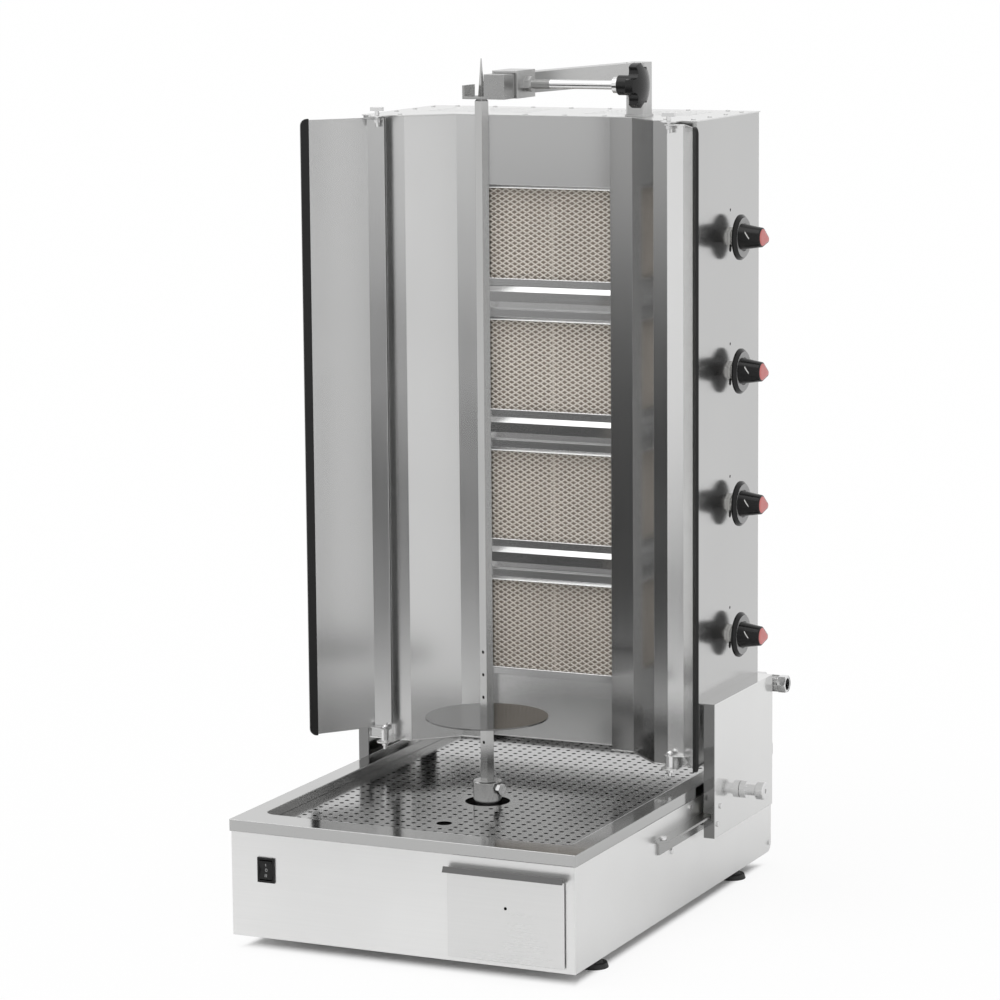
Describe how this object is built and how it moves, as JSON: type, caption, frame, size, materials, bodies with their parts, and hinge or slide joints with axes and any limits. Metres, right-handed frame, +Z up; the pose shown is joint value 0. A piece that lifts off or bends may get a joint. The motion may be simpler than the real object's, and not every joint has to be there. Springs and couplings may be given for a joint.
{
  "type": "doner kebab grill",
  "caption": "Stainless doner grill: a motor-driven spit over a drip tray, in front of a sliding tower of gas infrared burners with side doors, knobs and a grease drawer.",
  "frame": {"origin": "floor under the middle of the grill, in the plane of the spit", "axes": "+Z up, front with the switch and drawer towards -Y, burner knobs towards +X"},
  "size_m": [0.5745, 0.6895, 1.106],
  "materials": {
    "base_steel": "satin brushed",
    "plate_steel": "satin",
    "tower_steel": "bright",
    "reflector_steel": "bright",
    "spit_steel": "satin",
    "arm_steel": "satin",
    "bolt_steel": "bright",
    "rail_steel": "satin",
    "mesh_steel": "woven wire",
    "ceramic": "porous",
    "cast_aluminium": "as cast",
    "gas_pipe": "plated",
    "valve_brass": "turned",
    "knob_black": "moulded",
    "switch_black": "moulded",
    "slider_nylon": "moulded",
    "black_rubber": "matt"
  },
  "bodies": {
    "base": {"base_shell": "base_steel", "base_floor": "base_steel", "feet": "black_rubber", "top_deck": "base_steel", "perforated_plate": "plate_steel", "drip_pan": "plate_steel", "gearmotor": "cast_aluminium", "motor_bracket": "rail_steel", "cable_gland": "switch_black", "switch_housing": "switch_black", "drawer_runners": "rail_steel", "slide_rails": "rail_steel", "base_screws": "bolt_steel"},
    "drawer": {"drawer": "base_steel"},
    "rocker": {"switch_rocker": "switch_black"},
    "spit_drive": {"output_shaft": "spit_steel", "drive_hub": "spit_steel", "hub_clamp_screw": "bolt_steel"},
    "spit": {"skewer": "spit_steel", "disc_pin": "spit_steel"},
    "disc": {"meat_disc": "spit_steel"},
    "tower": {"side_panel_left": "tower_steel", "side_panel_right": "tower_steel", "back_panel": "tower_steel", "top_plate": "tower_steel", "bottom_plate": "tower_steel", "reflector_left": "reflector_steel", "reflector_right": "reflector_steel", "burner_panel": "reflector_steel", "burner_frames": "reflector_steel", "burner_screens": "mesh_steel", "ceramic_plaques": "ceramic", "burner_housings": "cast_aluminium", "separator_ledges": "reflector_steel", "gas_valves": "valve_brass", "gas_manifold": "gas_pipe", "gas_inlet": "bolt_steel", "side_cover_left": "base_steel", "side_cover_right": "base_steel", "slide_blocks": "slider_nylon", "hinge_bolts": "bolt_steel", "tower_screws": "bolt_steel", "top_arm": "arm_steel", "arm_sleeve": "arm_steel"},
    "left_door": {"door_left": "reflector_steel", "door_edge_left": "black_rubber"},
    "right_door": {"door_right": "reflector_steel", "door_edge_right": "black_rubber"},
    "holder": {"spit_holder": "arm_steel"},
    "arm_clamp": {"clamp_rod": "bolt_steel", "star_knob": "knob_black"},
    "tower_clamp": {"tower_clamp_screw": "bolt_steel"},
    "plunger_1": {"knob_plunger_1": "valve_brass"},
    "knob_1": {"knob_1": "knob_black"},
    "plunger_2": {"knob_plunger_2": "valve_brass"},
    "knob_2": {"knob_2": "knob_black"},
    "plunger_3": {"knob_plunger_3": "valve_brass"},
    "knob_3": {"knob_3": "knob_black"},
    "plunger_4": {"knob_plunger_4": "valve_brass"},
    "knob_4": {"knob_4": "knob_black"}
  },
  "joints": [
    {"name": "tower_slide", "type": "slide", "parent": "base", "child": "tower", "axis": [0, 1, 0], "range_m": [0, 0.02]},
    {"name": "holder_slide", "type": "slide", "parent": "tower", "child": "holder", "axis": [0, 1, 0], "range_m": [-0.02, 0]},
    {"name": "left_door_swing", "type": "hinge", "parent": "tower", "child": "left_door", "pos_m": [-0.205, 0.042, 0.6], "axis": [0, 0, 1], "range_deg": [-25, 120]},
    {"name": "right_door_swing", "type": "hinge", "parent": "tower", "child": "right_door", "pos_m": [0.205, 0.042, 0.6], "axis": [0, 0, 1], "range_deg": [-120, 30]},
    {"name": "spit_spin", "type": "hinge", "parent": "base", "child": "spit_drive", "pos_m": [0, -0.075, 0.15], "axis": [0, 0, 1], "continuous": true},
    {"name": "spit_lift", "type": "slide", "parent": "spit_drive", "child": "spit", "axis": [0, 0, 1], "range_m": [0, 0.018]},
    {"name": "disc_lift", "type": "slide", "parent": "spit", "child": "disc", "axis": [0, 0, 1], "range_m": [0, 0.7]},
    {"name": "drawer_slide", "type": "slide", "parent": "base", "child": "drawer", "axis": [0, -1, 0], "range_m": [0, 0.25]},
    {"name": "switch_rock", "type": "hinge", "parent": "base", "child": "rocker", "pos_m": [-0.186, -0.328, 0.106], "axis": [1, 0, 0], "range_deg": [-8, 8]},
    {"name": "arm_clamp_turn", "type": "hinge", "parent": "tower", "child": "arm_clamp", "pos_m": [0.1, -0.033, 1.073], "axis": [1, 0, 0], "range_deg": [-180, 180]},
    {"name": "tower_clamp_turn", "type": "hinge", "parent": "tower", "child": "tower_clamp", "pos_m": [0.27, 0.164, 0.142], "axis": [1, 0, 0], "range_deg": [-180, 180]},
    {"name": "knob_1_push", "type": "slide", "parent": "tower", "child": "plunger_1", "axis": [-1, 0, 0], "range_m": [0, 0.003], "stiffness_N_per_m": 1500},
    {"name": "knob_1_turn", "type": "hinge", "parent": "plunger_1", "child": "knob_1", "pos_m": [0.252, 0.178, 0.868], "axis": [1, 0, 0], "range_deg": [0, 180]},
    {"name": "knob_2_push", "type": "slide", "parent": "tower", "child": "plunger_2", "axis": [-1, 0, 0], "range_m": [0, 0.003], "stiffness_N_per_m": 1500},
    {"name": "knob_2_turn", "type": "hinge", "parent": "plunger_2", "child": "knob_2", "pos_m": [0.252, 0.178, 0.694], "axis": [1, 0, 0], "range_deg": [0, 180]},
    {"name": "knob_3_push", "type": "slide", "parent": "tower", "child": "plunger_3", "axis": [-1, 0, 0], "range_m": [0, 0.003], "stiffness_N_per_m": 1500},
    {"name": "knob_3_turn", "type": "hinge", "parent": "plunger_3", "child": "knob_3", "pos_m": [0.252, 0.178, 0.52], "axis": [1, 0, 0], "range_deg": [0, 180]},
    {"name": "knob_4_push", "type": "slide", "parent": "tower", "child": "plunger_4", "axis": [-1, 0, 0], "range_m": [0, 0.003], "stiffness_N_per_m": 1500},
    {"name": "knob_4_turn", "type": "hinge", "parent": "plunger_4", "child": "knob_4", "pos_m": [0.252, 0.178, 0.346], "axis": [1, 0, 0], "range_deg": [0, 180]}
  ],
  "couplings": [
    {"joint": "holder_slide", "follows": "tower_slide", "ratio": -1}
  ]
}
